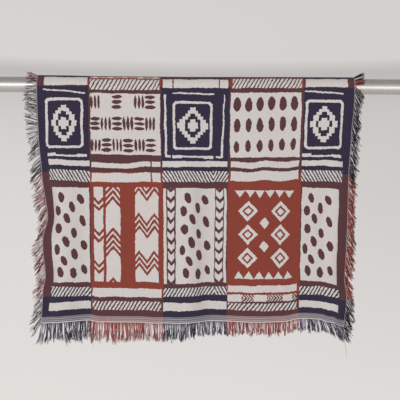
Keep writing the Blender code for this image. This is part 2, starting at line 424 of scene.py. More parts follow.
def eggs(x, y):
    """Scattered egg shapes, each a little different and most of them with the top to the left."""
    found = None
    for number, (middle, level) in enumerate(EGGS):
        above = y - level
        aside = x - middle + above * (0.16 + 0.12 * math.sin(number * 1.7))
        wide = aside / (0.013 + 0.0014 * math.sin(number * 2.4))
        tall = above / (0.0208 + 0.0014 * math.sin(number * 4.1))
        egg = wide * wide + tall * tall
        found = egg if found is None else found.math("MINIMUM", egg)
    return found < 1.0


def foot_first(x, y):
    """A cream bar above the header and a hatched band above that."""
    band = box(x, y, -0.085, 0.1, 0.1005, 0.1378, -0.055)
    return box(x, y, -0.089, 0.1, 0.0475, 0.0775) | band * hatch(x, y, 0.62, 0.0146)


def foot_middle(x, y):
    """As on the first column, with strokes that turn near the right."""
    band = y.between(0.1045, 0.1385) * turned_hatch(x, y, 0.086, 0.62, 0.0146)
    return y.between(0.049, 0.0815) | band


def foot_last(x, y):
    """As on the first column, with a band that climbs to the right."""
    band = box(x, y, -0.1, 0.081, 0.102, 0.135, 0.035)
    return box(x, y, -0.1, 0.08, 0.048, 0.0765, 0.012) | band * hatch(x, y, 0.62, 0.0146)


def foot_strips(x, y):
    """A cream bar over a band of slanting cream strokes."""
    strokes = box(x, y, -0.1395, 0.137, 0.049, 0.084) * hatch(x, y, 0.6, 0.015, 0.54)
    return box(x, y, -0.1395, 0.137, 0.1, 0.1355) | strokes


def foot_lozenges(x, y):
    """A cream bar, a cream band with clusters of sideways chevrons, and slanting cream strokes."""
    bowed = y - (x * 11.0).cosine() * 0.0025
    bar = box(x, bowed, -0.1435, 0.139, 0.1165, 0.144)
    band = box(x, bowed, -0.1435, 0.139, 0.0795, 0.1075)
    cluster = x.between(-0.088, -0.039) | x.between(0.0135, 0.08) | x.between(0.12, 0.139)
    lines = ((x + abs(bowed - 0.0935)) / 0.0122 % 1.0) < 0.6
    strokes = box(x, y, -0.1435, 0.139, 0.0455, 0.074, -0.012) * hatch(x, y, 0.75, 0.0168, 0.56)
    return bar | band * (1 - cluster * lines) | strokes


def lower_first(x, y):
    """A cream panel with scattered egg shapes."""
    return box(x, y, -0.077, 0.08, 0.155, 0.531, -0.02) * (1 - eggs(x - 0.002, y))


def lower_last(x, y):
    """As on the first column."""
    return box(x, y, -0.08, 0.0715, 0.155, 0.5335, -0.03) * (1 - eggs(x * 1.072 + 0.0108, y))


def lower_middle(x, y):
    """Egg shapes on cream between two strips of V shapes and two thin bars."""
    bars = x.between(-0.135, -0.1235) | x.between(0.1216, 0.132)
    strips = chevrons(abs(x) - 0.1032, y + 0.005, 0.0145, 1.0, 0.041, 0.62)
    panel = x.between(-0.0826, 0.085) * (1 - eggs(x - 0.001, y))
    return y.between(0.155, 0.531) * (bars | strips | panel)


def blocks_and_lines(slope_place, period, block, pitch, share=0.4):
    """Along one direction, a plain block and then thin lines, over and over."""
    step = slope_place % period
    lines = ((step - block) / pitch % 1.0) < share
    return (step < block) | lines


def lower_strips(x, y):
    """Three upright strips: notched blocks, chevrons and a double zigzag, all plain and regular."""
    tall = y.between(0.16, 0.533)
    first, second, third = x + 0.114, x + 0.056, x - 0.079
    notched = blocks_and_lines(y - abs(first) + 0.02, 0.124, 0.074, 0.025, 0.44)
    peaks = blocks_and_lines(y + abs(second) * 1.15 + 0.016, 0.196, 0.1, 0.024)
    wave = 0.0613
    zigzag = abs(third % wave - wave / 2)
    waves = blocks_and_lines(y + zigzag * 1.35 + 0.01, 0.148, 0.076, 0.024)
    return tall * (
        first.between(-0.0185, 0.0185) * notched
        | second.between(-0.029, 0.029) * peaks
        | third.between(-0.046, 0.046) * waves
    )


def lower_lozenges(x, y):
    """Two staggered columns of ringed lozenges between rows of triangle teeth."""
    pitch = 0.093
    up = y - 0.348
    above = abs(up - (up / pitch).nearest(-1, 1) * pitch)
    reach = abs(abs(x) - 0.066) / 0.04 + above / 0.041
    lozenge = (reach < 1.0) * (1 - reach.between(0.36, 0.6))
    between_ranks = abs(up - (up / pitch - 0.5).nearest(-1, 0) * pitch - pitch / 2)
    small = (abs(x) / 0.019 + between_ranks / 0.023) < 1.0
    tooth = abs(x % 0.04 - 0.02)
    teeth = (y.between(0.172, 0.202) * ((y - 0.172) < 0.03 - tooth * 1.5)) | (
        y.between(0.494, 0.524) * ((0.524 - y) < 0.03 - tooth * 1.5)
    )
    return lozenge | small | teeth * x.between(-0.12, 0.12)


def medallion(x, y, half, tall):
    """A frame with cut corners around diamonds with stepped sides."""
    across, up = abs(x), abs(y)
    corner = across + up
    frame_line = (across < half) * (up < tall) * (corner < half + tall - 0.011)
    hollow = (across < half - 0.01) * (up < tall - 0.01) * (corner < half + tall - 0.027)
    reach = across.math("SNAP", 0.0105) / (half - 0.018) + up.math("SNAP", 0.012) / (tall - 0.018)
    return frame_line * (1 - hollow) | reach.between(0.5, 0.86) | (reach < 0.2)


def upper_outer(x, y, kind, rise):
    """From below: a hatched band, a cream bar and a stepped line."""
    left, right, _, _, climb = DARK_BANDS["upper", kind]
    level = y - rise
    band = box(x, y, *DARK_BANDS["upper", kind]) * hatch(x, y, -0.6, 0.0134)
    bar = box(x, level, left, right, 0.618, 0.64, climb)
    line = box(x, level, -0.087, 0.0755, 0.654, 0.661, climb / 2)
    line = line | box(x, level, -0.087, -0.048, 0.6555, 0.669)
    return band | bar | line | box(x, level, 0.036, 0.0755, 0.652, 0.664)


def upper_first(x, y):
    """The band, bar and line, then a framed medallion and a sloping line."""
    top = box(x, y, -0.093, 0.072, 0.9105, 0.9165, -0.08)
    return upper_outer(x, y, "first", 0.0) | medallion(x + 0.013, y - 0.787, 0.076, 0.1) | top


def upper_last(x, y):
    """As on the first column."""
    top = box(x, y, -0.08, 0.072, 0.9123, 0.9183, -0.065)
    return upper_outer(x, y, "last", 0.0038) | medallion(x + 0.002, y - 0.7885, 0.075, 0.0985) | top


def upper_middle(x, y):
    """As on the first column, with turning strokes and an upright line with a foot on either side."""
    band = y.between(0.5565, 0.5995) * turned_hatch(x, y, 0.075, -0.6, 0.0134)
    bar = box(x, y, -0.135, 0.131, 0.615, 0.638, 0.01)
    line = box(x, y, -0.092, 0.077, 0.652, 0.659)
    line = line | box(x, y, -0.092, -0.054, 0.648, 0.661) | box(x, y, 0.036, 0.077, 0.647, 0.66)
    foot = 0.6526
    up = y - foot
    left = (x + up * 0.01).between(-0.1225, -0.1135)
    right = abs(x - 0.1089 - up * 0.03) < 0.0046 - up * 0.01
    lines = (left | right) * y.between(foot, 0.9013)
    feet = box(x, y, -0.1225, -0.099, foot, 0.662) | box(x, y, 0.087, 0.112, foot, 0.66)
    top = box(x, y, -0.09, 0.074, 0.904, 0.91, -0.015)
    return band | bar | line | lines | feet | medallion(x + 0.0102, y - 0.7795, 0.0794, 0.0965) | top


def wavy_bar(x, y, bottom, top, wave):
    """A cream bar whose edges follow a wave, which is given as its height by x."""
    return (y - wave).between(bottom, top) * x.between(-0.14, 0.138)


def dashes(x, y):
    """Groups of three dashes, upright and lying by turns, in three rows of six places."""
    place = ((x + 0.01) / 0.044 + 2.5).nearest(0, 5)
    row = ((y - 0.7) / 0.0857).nearest(0, 2)
    aside = x + 0.01 - (place - 2.5) * 0.044
    above = y - 0.7 - row * 0.0857
    top_row = row > 1.5
    middle_row = row.between(0.5, 1.5)
    lying = (place + row + top_row * place.between(1.9, 2.1)) % 2.0
    upright = aside - (aside / 0.015).nearest(-1, 1) * 0.015
    level = above - (above / 0.02).nearest(-1, 1) * 0.02
    long = middle_row * 0.003 + top_row * 0.0015 + 0.026
    uneven = (place * 2.3 + row * 1.7).sine() * 0.0006
    standing_dash = (abs(upright) / (uneven + 0.0056) + abs(above / long) ** 2.6) < 1.0
    lying_dash = (abs(level) / (uneven + 0.0072) + abs(aside / 0.0222) ** 2.6) < 1.0
    left_out = top_row * (abs(place - 2.0)).between(0.9, 1.1)
    return (lying * lying_dash | (1 - lying) * standing_dash) * (1 - left_out)


def upper_strips(x, y):
    """A cream panel of dash groups over two wavy bars, which a divider cuts."""
    wave = x * 0.02 - (x * 25.0 + 0.5).cosine() * 0.003
    bars = wavy_bar(x, y, 0.611, 0.6308, wave) | wavy_bar(x, y, 0.555, 0.5905, wave * 0.3)
    panel = box(x, y, -0.1395, 0.1395, 0.6625, 0.905, -0.012)
    return panel * (1 - dashes(x, y)) | bars * (1 - x.between(0.098, 0.104)) | over_strips(x, y)


def ovals(x, y):
    """Six upright ovals in each of three rows, pointed at the top. The rows climb to the right."""
    place = ((x + 0.0035) / 0.0455 + 2.5).nearest(0, 5)
    row = ((y - x * 0.05 - 0.7025) / 0.083).nearest(0, 2)
    aside = abs(x + 0.0035 - (place - 2.5) * 0.0455)
    above = y - 0.7025 - row * 0.083 - x * (0.064 - row * 0.014) - (place * 2.0 + row).sine() * 0.0015
    pointed = (place * 2.0 + row * 3.0).sine() * 5.0 + 2.0
    wide = aside * (above * pointed + 1.0) / (row * 0.0017 + 0.0114)
    tall = abs(above) / (row * 0.006 - row * row * 0.002 + 0.0245)
    return (wide ** 1.8 + tall ** 1.9) < 1.0


def upper_lozenges(x, y):
    """A cream panel of ovals over two wavy bars."""
    wave = (x * 44.9).cosine() * 0.0027 + x * 0.023
    bars = wavy_bar(x, y, 0.614, 0.6385, wave) | wavy_bar(x, y, 0.5615, 0.5995, wave)
    return box(x, y, -0.1435, 0.139, 0.6553, 0.9132, 0.015) * (1 - ovals(x, y)) | bars


def over_first(x, y):
    """One cream bar that lies on the rod."""
    return box(x, y, -0.091, 0.082, 0.9374, 0.97)


def over_last(x, y):
    """The same bar."""
    return box(x, y, -0.079, 0.091, 0.9372, 0.969)


def over_middle(x, y):
    """The same bar, cut by two dividers."""
    dividers = x.between(-0.0909, -0.0859) | x.between(0.0915, 0.0965)
    return box(x, y, -0.13, 0.131, 0.93, 0.9645) * (1 - dividers)


def over_strips(x, y):
    """A hatched band that lies on the rod, and small V shapes on cream beyond it."""
    small = chevrons(x % 0.06 - 0.03, y, 0.02, 0.5, 0.006, 0.5)
    back = box(x, y, -0.1395, 0.137, 0.968, 0.99) * (1 - small)
    return box(x, y, *DARK_BANDS["over", "strips"]) * hatch(x, y, 0.58, 0.0163, 0.65) | back


def over_lozenges(x, y):
    """As on the column of strips, with a band that climbs to the right."""
    return box(x, y, *DARK_BANDS["over", "lozenges"]) * hatch(x, y, 0.58, 0.0148, 0.65)


# What draws each row of the weave, by column from left to right.
PATTERNS = {
    "foot": (foot_first, foot_strips, foot_middle, foot_lozenges, foot_last),
    "lower": (lower_first, lower_strips, lower_middle, lower_lozenges, lower_last),
    "upper": (upper_first, upper_strips, upper_middle, upper_lozenges, upper_last),
    "over": (over_first, over_strips, over_middle, over_lozenges, over_last),
}


def woven(row, kind):
    """The jacquard cloth of one row and kind of column.

    The pattern's places are shifted by noise and then kept to whole threads, which gives the hand-cut,
    stepped edges. The ground is navy, maroon or rust, as the warp and the weft there are, and the reverse
    shows cream where the face shows the ground. The bump is the threads' rounds and the pattern's edge.
    """
    shader = Shader(bpy.data.materials.new(f"weave {row} {kind}"))
    across, along = shader.place("cloth")
    x, y = shader.place("panel")
    from_hem = along.math("MINIMUM", CLOTH_LENGTH - along)
    navy_warp = kind in NAVY_COLUMNS
    streak = shader.noise(across * 2.2, along * 0.16, 260.0, 1.0)
    blotch = shader.noise(across, along, 17.0, 2.0)
    warp_round = (across * (math.pi / THREAD)).sine()
    weft_round = (along * (math.pi / THREAD)).sine()
    rounds = warp_round * weft_round
    if row == "header":
        ground = HEADER_NAVY if navy_warp else HEADER_RUST
        line = (from_hem / HEADER_PITCH % 1.0) < HEADER_LINE
        cord = from_hem.between(*HEM_CORD)
        colour = shader.mix(line * 0.46, ground, CREAM_ROSE)
        colour = shader.mix(cord * 0.95, colour, CREAM_ROSE)
        relief = line * 0.5 + cord
    else:
        fine_x, fine_y, _ = shader.split(shader.noise(across, along, 90.0, 1.0, 1))
        slow_x, slow_y, _ = shader.split(shader.noise(across, along, 16.0, 0.0, 1))
        stray_x = x + (fine_x - 0.5) * FINE_STRAY + (slow_x - 0.5) * SLOW_STRAY
        stray_y = y + (fine_y - 0.5) * FINE_STRAY + (slow_y - 0.5) * SLOW_STRAY
        draw = PATTERNS[row][KINDS.index(kind)]
        cream = draw(stray_x.math("SNAP", THREAD), stray_y.math("SNAP", THREAD))
        reverse = shader.node("Attribute", {"attribute_name": "reverse"}, output=2)
        cream = abs(cream - reverse)
        in_navy = (from_hem < RUST_START) | along.between(*NAVY_WEFT) | along.between(*TOP_NAVY_WEFT)
        if (row, kind) in DARK_BANDS:
            in_navy = in_navy | box(x, y, *DARK_BANDS[row, kind])
        rust_weft = MAROON if navy_warp else RUST
        navy_weft = NAVY if navy_warp else MAROON
        ground = shader.mix(in_navy, rust_weft, navy_weft)
        pale = shader.mix(blotch * 2.0 - 0.5, CREAM_ROSE, CREAM_GREEN)
        colour = shader.mix(cream, ground, pale)
        relief = cream
    edge = (across < SELVEDGE_CORD) | (across > CLOTH_WIDTH - SELVEDGE_CORD)
    colour = shader.mix(edge * 0.8, colour, EDGE_PALE)
    colour = shader.toned(colour, 0.86 + streak * 0.20 + blotch * 0.08 + rounds * 0.05)
    height = rounds * 0.30 + relief * 0.35 + streak * 0.25
    constants = {"Sheen_Weight": 0.12, "Sheen_Roughness": 0.5, "Specular_IOR_Level": 0.25}
    return shader.finish(colour, 0.90 - streak * 0.08, height, 0.0006, **constants)


def cotton_yarn():
    """Loose cotton yarn: its colour comes from the yarn, with a twisted ply as bump."""
    shader = Shader(bpy.data.materials.new("cotton yarn"))
    along, around = shader.place("twist")
    colour = shader.node("Attribute", {"attribute_name": "yarn"})
    fuzz = shader.noise(along * 900, around * 3, 1.0, 2.0)
    colour = shader.toned(colour, 0.78 + fuzz * 0.44)
    ply = ((along / 0.0036 + around) * (2 * math.pi)).sine()
    height = ply * 0.5 + fuzz * 0.5
    return shader.finish(colour, 0.92, height, 0.0004, Sheen_Weight=0.15, Specular_IOR_Level=0.2)


def brushed_metal():
    """Satin aluminium: fine lines along the rod vary its roughness and bump, with faint handling marks."""
    shader = Shader(bpy.data.materials.new("satin aluminium"))
    place = shader.node("TexCoord", None, None, 3)
    x, y, z = shader.split(place)
    lines = shader.node(
        "TexNoise", None, {"Vector": shader.join(x * 2.0, y * 500, z * 500), "Scale": 1.0, "Detail": 3.0}
    )
    marks = shader.node("TexNoise", None, {"Vector": place, "Scale": 9.0, "Detail": 4.0})
    colour = shader.mix(marks, linear(198, 196, 194), linear(214, 212, 210))
    roughness = 0.26 + lines * 0.10 + marks * 0.08
    return shader.finish(colour, roughness, lines, 0.00006, Metallic=1.0)


def eased(rows, places, column=1):
    """Values between a table's rows, level at each row and eased from one to the next."""
    table = np.array(rows)
    knots, values = table[:, 0], table[:, column]
    places = np.clip(places, knots[0], knots[-1])
    low = np.clip(np.searchsorted(knots, places, side="right") - 1, 0, len(knots) - 2)
    share = (places - knots[low]) / (knots[low + 1] - knots[low])
    return values[low] + (values[low + 1] - values[low]) * share * share * (3 - 2 * share)


def creases(across, drop):
    """The sum of the soft creases: each a bell across and along, leaning, by its height."""
    total = 0.0
    for place, level, width, length, lean, height in CREASES:
        aside = (across - place - lean * (drop - level)) / width
        total = total + height * np.exp(-(aside**2) - ((drop - level) / length) ** 2)
    ripple = np.sin(2 * np.pi * across / RIPPLE_LENGTH + 1.5 * np.sin(9 * drop))
    return total + RIPPLE_HEIGHT * ripple * np.sin(11 * drop + 5 * across)


def fold_depth(across, drop, front):
    """How far the hung cloth stands off the plane under the rod's side, outwards from the rod.

    The folds grow as 1 - exp(-(drop / reach)^1.5). In front, each selvedge turns back by its table times
    a bell of the distance to it.
    """
    reach = FRONT_GROWTH[0] + (FRONT_GROWTH[1] - FRONT_GROWTH[0]) * across / CLOTH_WIDTH
    growth = 1 - np.exp(-((drop / reach) ** 1.5))
    back_growth = 1 - np.exp(-((drop / BACK_GROWTH) ** 1.5))
    start = np.clip(drop / CREASE_START, 0, 1)
    left = np.exp(-((across / SELVEDGE_REACH) ** 2))
    right = np.exp(-(((CLOTH_WIDTH - across) / SELVEDGE_REACH) ** 2))
    turn = left * eased(SELVEDGE_TURN, drop, 1) + right * eased(SELVEDGE_TURN, drop, 2)
    in_front = growth * eased(FRONT_FOLDS, across) - turn + start * creases(across, drop)
    behind = back_growth * eased(BACK_FOLDS, across) + start * creases(CLOTH_WIDTH - across, drop) * 0.8
    return np.where(front, in_front, behind)


def hang(across, along):
    """Points of the hung cloth's middle surface, for a grid of places.

    along has a value for each row, and across has a value for each column, or for each point. A row's
    folds shorten each short length across to its run along the rod, and the runs add up from the plumb
    line. The front drop, the half turn over the rod and the back drop are one turn from 0 to pi: y is
    -(radius + depth) cos(turn), and z is (radius + lift) sin(turn) less the drop and the hem's sag.
    """
    along = np.asarray(along)[:, None]
    fine = np.linspace(0, CLOTH_WIDTH, FINE_STEPS + 1)[None]
    over = along - FRONT_DROP
    drop = np.where(over <= 0, -over, np.maximum(over - BEND_LENGTH, 0))
    depth = fold_depth(fine, drop, over <= 0)
    slope = np.gradient(depth, fine[0], axis=1)
    run = np.sqrt(np.maximum(1 - slope**2, 0.04))
    step = fine[0, 1]
    place = np.cumsum((run[:, 1:] + run[:, :-1]) / 2 * step, axis=1)
    place = np.concatenate([np.zeros_like(along), place], axis=1)

    def at(table, where):
        spot = np.clip(where / step, 0, FINE_STEPS - 1e-6)
        low = spot.astype(int)
        first = np.take_along_axis(table, low, axis=1)
        return first + (np.take_along_axis(table, low + 1, axis=1) - first) * (spot - low)

    across = np.broadcast_to(across, (len(along), np.shape(across)[-1]))
    plumb = at(place, np.full((len(along), 1), PLUMB_LINE))
    x = CLOTH_START + PLUMB_LINE + at(place, across) - plumb
    turn = np.pi * np.clip(over / BEND_LENGTH, 0, 1)
    y = -(BEND_RADIUS + at(depth, across)) * np.cos(turn)
    sag = np.where(over <= 0, eased(HEM_SAG, across), 0)
    z = (BEND_RADIUS + eased(BEND_LIFT, across)) * np.sin(turn) - drop - sag * (drop / FRONT_DROP) ** 2
    return np.stack([x, y, z], axis=-1)


def unit(vectors):
    return vectors / np.linalg.norm(vectors, axis=-1, keepdims=True)


def make_mesh(name, points, face_groups, materials, face_material=None):
    """A mesh object from arrays: points, then groups of faces with the same number of corners."""
    mesh = bpy.data.meshes.new(name)
    points = np.asarray(points, dtype=np.float32).reshape(-1, 3)
    mesh.vertices.add(len(points))
    mesh.vertices.foreach_set("co", points.ravel())
    corners = np.concatenate([group.ravel() for group in face_groups]).astype(np.int32)
    sizes = np.concatenate([np.full(len(group), group.shape[1]) for group in face_groups])
    mesh.loops.add(len(corners))
    mesh.loops.foreach_set("vertex_index", corners)
    mesh.polygons.add(len(sizes))
    mesh.polygons.foreach_set("loop_start", (np.cumsum(sizes) - sizes).astype(np.int32))
    for material in materials:
        mesh.materials.append(material)
    if face_material is not None:
        mesh.polygons.foreach_set("material_index", face_material.astype(np.int32))
    mesh.update(calc_edges=True)
    mesh.shade_smooth()
    made = bpy.data.objects.new(name, mesh)
    bpy.context.scene.collection.objects.link(made)
    return made


def add_uv(piece, name, corners):
    """Adds a UV map from an array of two coordinates for each face corner."""
    layer = piece.data.uv_layers.new(name=name)
    layer.data.foreach_set("uv", np.asarray(corners, dtype=np.float32).ravel())


def grid_faces(rows, columns):
    """Four corners for each cell of a grid, turned so that across x along points outwards."""
    corner = np.arange(rows * columns).reshape(rows, columns)[:-1, :-1].ravel()
    return np.stack([corner, corner + 1, corner + 1 + columns, corner + columns], axis=1)


def stations(borders, step):
    """Even steps between each pair of borders, with every border among them."""
    parts = [
        np.linspace(low, high, max(1, math.ceil((high - low) / step)), endpoint=False)
        for low, high in zip(borders, borders[1:])
    ]
    return np.concatenate([*parts, [borders[-1]]])


def make_blanket():
    """The sheet: an outer and an inner grid half the thickness off the middle surface, closed by a rim.

    Each grid's normals are the cross products of its steps across and along.
    """
    column_borders = [column[0] for column in COLUMNS] + [CLOTH_WIDTH]
    bend_end = FRONT_DROP + BEND_LENGTH
    row_borders = sorted([row[0] for row in ROWS] + [FRONT_DROP, bend_end, CLOTH_LENGTH])
    across = stations(column_borders, CELL)
    along = stations(row_borders, CELL)
    middle = (along > FRONT_DROP) & (along < bend_end)
    bend = np.linspace(FRONT_DROP, bend_end, BEND_CELLS + 1)
    keep_rows = [row[0] for row in ROWS if FRONT_DROP < row[0] < bend_end]
    along = np.unique(np.round(np.concatenate([along[~middle], bend, keep_rows]), 6))
    points = hang(across, along)
    rows, columns = points.shape[:2]
    normals = unit(np.cross(np.gradient(points, axis=1), np.gradient(points, axis=0)))
    both = np.stack([points + normals * CLOTH_THICK / 2, points - normals * CLOTH_THICK / 2])
    faces = grid_faces(rows, columns)
    count = rows * columns
    number = np.arange(count).reshape(rows, columns)
    loop = np.concatenate([number[0, :-1], number[:-1, -1], number[-1, :0:-1], number[:0:-1, 0]])
    after = np.roll(loop, -1)
    rim = np.stack([after, loop, loop + count, after + count], axis=1)
    corners = np.concatenate([faces, faces[:, ::-1] + count, rim])

    # Each face has the weave of its cell, and a face of the rim has that of the cell beside it.
    cell = np.arange((rows - 1) * (columns - 1)).reshape(rows - 1, columns - 1)
    rim_cell = np.concatenate([cell[0], cell[:, -1], cell[-1, ::-1], cell[::-1, 0]])
    cells = np.concatenate([cell.ravel(), cell.ravel(), rim_cell])
    cell_row = np.searchsorted([row[0] for row in ROWS], (along[1:] + along[:-1]) / 2) - 1
    cell_column = np.searchsorted(column_borders, (across[1:] + across[:-1]) / 2) - 1
    face_row, face_column = cell_row[cells // (columns - 1)], cell_column[cells % (columns - 1)]
    kinds = sorted({(row[2], kind) for row in ROWS for kind in KINDS})
    finishes = [woven(row, kind) for row, kind in kinds]
    table = np.array([[kinds.index((row[2], kind)) for kind in KINDS] for row in ROWS])
    blanket = make_mesh("blanket_cloth", both, [corners], finishes, table[face_row, face_column])
    blanket.data.set_sharp_from_angle(angle=math.radians(60))

    flat = np.stack(np.broadcast_arrays(across[None], along[:, None]), axis=-1).reshape(-1, 2)
    cloth = flat[corners % count]
    middles = np.array([column[2] for column in COLUMNS])
    mirrored = np.array([row[3] for row in ROWS])[face_row][:, None]
    panel = cloth.copy()
    panel[..., 0] -= middles[face_column][:, None]
    panel[..., 1] = np.where(mirrored, CLOTH_LENGTH - cloth[..., 1], cloth[..., 1])
    share = cloth / [CLOTH_WIDTH, CLOTH_LENGTH]
    bake = share * [0.70, 0.965] + [0.005, 0.005]
    inside = slice(len(faces), 2 * len(faces))
    bake[inside] = share[inside] * [0.275, 0.965] + [0.715, 0.005]
    turn = np.arange(len(rim) + 1) / len(rim) * 0.98 + 0.01
    low, high = np.full(len(rim), 0.980), np.full(len(rim), 0.995)
    sides = [(turn[1:], low), (turn[:-1], low), (turn[:-1], high), (turn[1:], high)]
    bake[2 * len(faces) :] = np.stack([np.stack(side, axis=-1) for side in sides], axis=1)
    add_uv(blanket, "cloth", cloth)
    add_uv(blanket, "panel", panel)
    add_uv(blanket, "OFBake", bake)
    reverse = blanket.data.attributes.new("reverse", "FLOAT", "POINT")
    reverse.data.foreach_set("value", np.repeat([0.0, 1.0], count).astype(np.float32))
    return blanket


def make_yarns(name, paths, radii, colours, finish, sides=3):
    """Closed tubes along many paths at once, joined in one mesh.

    paths is yarn by station. A ring's corners stand off the path by cos and sin of their angle along two
    directions square to it, times the yarn's radius, which narrows to half at the tip.
    """
    yarns, rings = paths.shape[:2]
    forward = unit(np.gradient(paths, axis=1))
    side = unit(np.cross(forward, [0.31, 0.94, 0.12]))
    up = np.cross(forward, side)
    angle = 2 * np.pi * np.arange(sides) / sides
    taper = 1 - 0.5 * np.linspace(0, 1, rings) ** 3
    radius = (radii[:, None] * taper)[..., None, None]
    around = np.cos(angle)[:, None] * side[:, :, None] + np.sin(angle)[:, None] * up[:, :, None]
    points = paths[:, :, None] + radius * around
    number = np.arange(yarns * rings * sides).reshape(yarns, rings, sides)
    following = np.roll(number, -1, axis=2)
    walls = np.stack([number[:, :-1], following[:, :-1], following[:, 1:], number[:, 1:]], axis=-1)
    ends = np.concatenate([number[:, 0, ::-1], number[:, -1]])
    piece = make_mesh(name, points, [walls.reshape(-1, 4), ends], [finish])

    length = np.linalg.norm(np.diff(paths, axis=1), axis=-1).mean(axis=1)
    run = np.arange(rings)[None, :, None] * length[:, None, None] + np.zeros((1, 1, sides + 1))
    turn = np.broadcast_to(np.arange(sides + 1) / sides, run.shape)
    tiles = math.ceil(math.sqrt(yarns))
    tile = np.stack(np.divmod(np.arange(yarns), tiles), axis=-1)[:, None, None]
    spot = np.stack([np.broadcast_to(np.arange(rings)[:, None] / (rings - 1), run.shape), turn], axis=-1)
    atlas = (tile + 0.06 + 0.88 * spot) / tiles

    def by_corner(table):
        ring, next_ring = table[:, :-1], table[:, 1:]
        quads = [ring[:, :, :-1], ring[:, :, 1:], next_ring[:, :, 1:], next_ring[:, :, :-1]]
        caps = [table[:, 0, :sides], table[:, -1, :sides]]
        return np.concatenate([part.reshape(-1, 2) for part in [np.stack(quads, axis=3), *caps]])

    add_uv(piece, "twist", by_corner(np.stack([run, turn], axis=-1)))
    add_uv(piece, "OFBake", by_corner(atlas))
    layer = piece.data.color_attributes.new("yarn", "FLOAT_COLOR", "POINT")
    shade = np.repeat(colours, rings * sides, axis=0).astype(np.float32)
    layer.data.foreach_set("color", shade.ravel())
    return piece


def pick_colours(random, palette, count):
    """Random yarns of a palette, by its shares, each a little lighter or darker."""
    shares = np.array([share for share, *_ in palette])
    table = np.array([linear(*colour) for _, *colour in palette])
    chosen = table[random.choice(len(palette), count, p=shares / shares.sum())]
    chosen[:, :3] *= random.uniform(0.82, 1.15, (count, 1))
    return chosen


def clumped(random, places, pitch):
    """For each place, the middle of the clump that it belongs to. The clumps are about a pitch wide."""
    low, high = places.min(), places.max()
    middles = np.arange(low, high + pitch, pitch)
    middles = middles + random.uniform(-0.34, 0.34, len(middles)) * pitch
    nearest = np.abs(places[:, None] - middles[None]).argmin(axis=1)
    return middles[nearest], nearest


def yarn_paths(random, roots, ways, lengths, falls, drift, curl, bunch):
    """Paths that leave their roots along ways and bend by falls.

    At a share s of its length, a yarn is at root + length (way s + fall s^2) + drift s (2 - s), plus a
    sine of s along each axis, whose height grows with s. The yarns of a bunch curl alike.
    """
    share = np.linspace(0, 1, YARN_RINGS)[None, :, None]
    bent = roots[:, None] + lengths[:, None, None] * (ways[:, None] * share + falls[:, None] * share**2)
    bent = bent + drift[:, None] * share * (2 - share)
    bunches = bunch.max() + 1
    phase = random.uniform(0, 2 * np.pi, (bunches, 1, 3))[bunch] + random.normal(0, 0.3, (len(roots), 1, 3))
    turns = random.uniform(0.5, 1.6, (bunches, 1, 3))[bunch]
    height = random.uniform(0.3, 1.0, (bunches, 1, 3))[bunch] * curl
    return bent + height * share * np.sin(2 * np.pi * turns * share + phase)


def by_bunch(random, own, bunch, share):
    """One table row for each yarn: for this share of the yarns that of their bunch, else their own."""
    first = np.searchsorted(bunch, np.arange(bunch.max() + 1))
    first = np.minimum(first, len(own) - 1)
    alike = random.uniform(0, 1, (len(own), 1)) < share
    return np.where(alike, own[first[bunch]], own)


def column_colours(random, across):
    """Colours of warp yarns: the navy palette in the navy columns and the rust one in the rust columns."""
    borders = [column[1] for column in COLUMNS[:-1]]
    column = np.searchsorted(borders, across + random.normal(0, 0.0015, len(across)))
    navy = pick_colours(random, NAVY_YARNS, len(across))
    rust = pick_colours(random, RUST_YARNS, len(across))
    return np.where((column % 2 == 0)[:, None], navy, rust)


def hem_fringe(name, along, inward, seed, yarns, finish, loose=()):
    """The yarns below one hem, in fine bunches of mostly one colour, which draw together at their tips.

    inward is 1 or -1, the direction from this hem into the cloth. loose lists the yarns that hang lower.
    """
    random = np.random.default_rng(seed)
    across = np.sort(random.uniform(0.001, CLOTH_WIDTH - 0.001, yarns))
    bunch_middles, bunch = clumped(random, across, HEM_BUNCH)
    middles, clump = clumped(random, bunch_middles, HEM_CLUMP)
    bunches = bunch.max() + 1
    edge = hang(across, [along, along + inward * EDGE_STEP])
    roots = edge[0] + (edge[1] - edge[0]) * ROOT_DEPTH / EDGE_STEP
    clump_length = random.uniform(0.90, 1.08, clump.max() + 1)[clump]
    lengths = eased(HEM_LENGTH, across) * clump_length * random.uniform(0.80, 1.06, bunches)[bunch]
    lengths = lengths * random.uniform(0.90, 1.04, yarns)
    drift = np.zeros((yarns, 3))
    drift[:, 0] = (bunch_middles - across) * 0.40
    drift[:, 1] = random.normal(0, 0.0020, bunches)[bunch]
    ways = np.tile([0.0, 0.0, -1.0], (yarns, 1))
    lean = eased(HEM_LEAN, across) if inward > 0 else 0.0
    ways[:, 0] = lean + random.normal(0, 0.09, bunches)[bunch] + random.normal(0, 0.016, yarns)
    falls = np.zeros((yarns, 3))
    pull = random.uniform(0.2, 0.9, bunches)[bunch]
    falls[:, 0] = (middles - bunch_middles) * pull / lengths + random.normal(0, 0.03, yarns)
    loose = np.array(loose).reshape(-1, 3)
    chosen = np.abs(across[:, None] - loose[:, 0]).argmin(axis=0)
    lengths[chosen] = loose[:, 1]
    ways[chosen, 0] = loose[:, 2]
    paths = yarn_paths(random, roots, ways, lengths, falls, drift, HEM_CURL, bunch)
    radii = YARN_RADIUS * random.uniform(0.7, 1.1, yarns)
    colours = by_bunch(random, column_colours(random, across), bunch, 0.75)
    colours[chosen] = NAVY
    return make_yarns(name, paths, radii, colours, finish)


